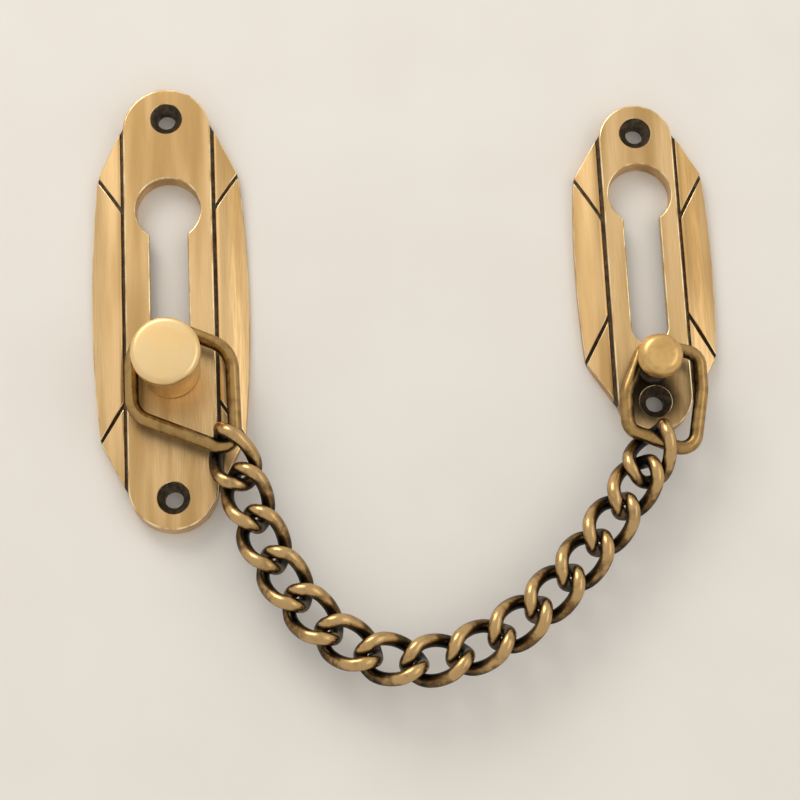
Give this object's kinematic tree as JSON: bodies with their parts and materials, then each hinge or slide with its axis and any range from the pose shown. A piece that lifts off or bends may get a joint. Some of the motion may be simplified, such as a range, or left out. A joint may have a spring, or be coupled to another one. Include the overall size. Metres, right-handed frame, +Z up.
{
  "type": "door chain guard",
  "caption": "Door chain guard: two keyhole plates on a door and its frame, joined by a curb chain that hangs between wire rings on a sliding knob and a fixed post.",
  "frame": {"origin": "on the keeper plate's flat back, on its centreline, 23 mm above the plate's lower end", "axes": "+Z up the door, -Y out of the door towards the room, +X from the keeper plate towards the anchor plate"},
  "size_m": [0.1638, 0.0252, 0.1634],
  "materials": {
    "plate_brass": "brushed antique brass with dark grooves",
    "knob_brass": "satin brass",
    "dark_brass": "darkened brass, worn bright on the outer curves"
  },
  "bodies": {
    "plates": {"keeper_plate": "plate_brass", "anchor_plate": "plate_brass", "anchor_post": "knob_brass"},
    "slider": {"knob_foot_washer": "plate_brass"},
    "knob": {"sliding_knob": "knob_brass"},
    "keeper_ring": {"keeper_ring": "dark_brass"},
    "anchor_ring": {"anchor_ring": "dark_brass"},
    "link_01": {"link_01": "dark_brass"},
    "link_02": {"link_02": "dark_brass"},
    "link_03": {"link_03": "dark_brass"},
    "link_04": {"link_04": "dark_brass"},
    "link_05": {"link_05": "dark_brass"},
    "link_06": {"link_06": "dark_brass"},
    "link_07": {"link_07": "dark_brass"},
    "link_08": {"link_08": "dark_brass"},
    "link_09": {"link_09": "dark_brass"},
    "link_10": {"link_10": "dark_brass"},
    "link_11": {"link_11": "dark_brass"},
    "link_12": {"link_12": "dark_brass"},
    "link_13": {"link_13": "dark_brass"},
    "link_14": {"link_14": "dark_brass"},
    "link_15": {"link_15": "dark_brass"}
  },
  "joints": [
    {"name": "knob_slide", "type": "slide", "parent": "plates", "child": "slider", "axis": [0, 0, 1], "range_m": [0, 0.0443]},
    {"name": "knob_spin", "type": "hinge", "parent": "slider", "child": "knob", "pos_m": [0, -0.0022, 0.0189], "axis": [0, -1, 0], "continuous": true},
    {"name": "keeper_ring_swing", "type": "hinge", "parent": "slider", "child": "keeper_ring", "pos_m": [0, -0.01089, 0.0189], "axis": [0, -1, 0], "range_deg": [-5, 3]},
    {"name": "link_01_swing", "type": "hinge", "parent": "keeper_ring", "child": "link_01", "pos_m": [0.01402, -0.01089, -0.00248], "axis": [0, -1, 0], "range_deg": [-3, 10]},
    {"name": "link_02_swing", "type": "hinge", "parent": "link_01", "child": "link_02", "pos_m": [0.01741, -0.01089, -0.01129], "axis": [0, -1, 0], "range_deg": [-9.7, 3]},
    {"name": "link_03_swing", "type": "hinge", "parent": "link_02", "child": "link_03", "pos_m": [0.02057, -0.01089, -0.02235], "axis": [0, -1, 0], "range_deg": [-7.9, 3]},
    {"name": "link_04_swing", "type": "hinge", "parent": "link_03", "child": "link_04", "pos_m": [0.02482, -0.01089, -0.03303], "axis": [0, -1, 0], "range_deg": [-7.7, 3]},
    {"name": "link_05_swing", "type": "hinge", "parent": "link_04", "child": "link_05", "pos_m": [0.03053, -0.01089, -0.04301], "axis": [0, -1, 0], "range_deg": [-8.8, 3]},
    {"name": "link_06_swing", "type": "hinge", "parent": "link_05", "child": "link_06", "pos_m": [0.03811, -0.01089, -0.05165], "axis": [0, -1, 0], "range_deg": [-10.8, 3]},
    {"name": "link_07_swing", "type": "hinge", "parent": "link_06", "child": "link_07", "pos_m": [0.04779, -0.01089, -0.05786], "axis": [0, -1, 0], "range_deg": [-11.8, 3]},
    {"name": "link_08_swing", "type": "hinge", "parent": "link_07", "child": "link_08", "pos_m": [0.05901, -0.01089, -0.06039], "axis": [0, -1, 0], "range_deg": [-8.7, 3]},
    {"name": "anchor_ring_swing", "type": "hinge", "parent": "plates", "child": "anchor_ring", "pos_m": [0.125, -0.01089, 0.0143], "axis": [0, -1, 0], "range_deg": [-13, 3]},
    {"name": "link_15_swing", "type": "hinge", "parent": "anchor_ring", "child": "link_15", "pos_m": [0.1236, -0.01089, -0.00594], "axis": [0, -1, 0], "range_deg": [-3, 4]},
    {"name": "link_14_swing", "type": "hinge", "parent": "link_15", "child": "link_14", "pos_m": [0.12015, -0.01089, -0.01302], "axis": [0, -1, 0], "range_deg": [-3.9, 3]},
    {"name": "link_13_swing", "type": "hinge", "parent": "link_14", "child": "link_13", "pos_m": [0.11364, -0.01089, -0.0225], "axis": [0, -1, 0], "range_deg": [-5.7, 3]},
    {"name": "link_12_swing", "type": "hinge", "parent": "link_13", "child": "link_12", "pos_m": [0.10661, -0.01089, -0.0316], "axis": [0, -1, 0], "range_deg": [-7.4, 3]},
    {"name": "link_11_swing", "type": "hinge", "parent": "link_12", "child": "link_11", "pos_m": [0.09895, -0.01089, -0.04016], "axis": [0, -1, 0], "range_deg": [-9.3, 3]},
    {"name": "link_10_swing", "type": "hinge", "parent": "link_11", "child": "link_10", "pos_m": [0.09047, -0.01089, -0.04793], "axis": [0, -1, 0], "range_deg": [-10.6, 3]},
    {"name": "link_09_swing", "type": "hinge", "parent": "link_10", "child": "link_09", "pos_m": [0.08099, -0.01089, -0.05444], "axis": [0, -1, 0], "range_deg": [-9.9, 3]}
  ],
  "couplings": [
    {"joint": "keeper_ring_swing", "follows": "knob_slide", "rad_per_m": -0.788},
    {"joint": "link_01_swing", "follows": "knob_slide", "rad_per_m": 2.7547},
    {"joint": "link_02_swing", "follows": "knob_slide", "rad_per_m": -2.6516},
    {"joint": "link_03_swing", "follows": "knob_slide", "rad_per_m": -1.9429},
    {"joint": "link_04_swing", "follows": "knob_slide", "rad_per_m": -1.838},
    {"joint": "link_05_swing", "follows": "knob_slide", "rad_per_m": -2.2668},
    {"joint": "link_06_swing", "follows": "knob_slide", "rad_per_m": -3.068},
    {"joint": "link_07_swing", "follows": "knob_slide", "rad_per_m": -3.4608},
    {"joint": "link_08_swing", "follows": "knob_slide", "rad_per_m": -2.227},
    {"joint": "anchor_ring_swing", "follows": "knob_slide", "rad_per_m": -3.9398},
    {"joint": "link_15_swing", "follows": "knob_slide", "rad_per_m": 0.3947},
    {"joint": "link_14_swing", "follows": "knob_slide", "rad_per_m": -0.3714},
    {"joint": "link_13_swing", "follows": "knob_slide", "rad_per_m": -1.0523},
    {"joint": "link_12_swing", "follows": "knob_slide", "rad_per_m": -1.7471},
    {"joint": "link_11_swing", "follows": "knob_slide", "rad_per_m": -2.4637},
    {"joint": "link_10_swing", "follows": "knob_slide", "rad_per_m": -2.9932},
    {"joint": "link_09_swing", "follows": "knob_slide", "rad_per_m": -2.7143}
  ]
}
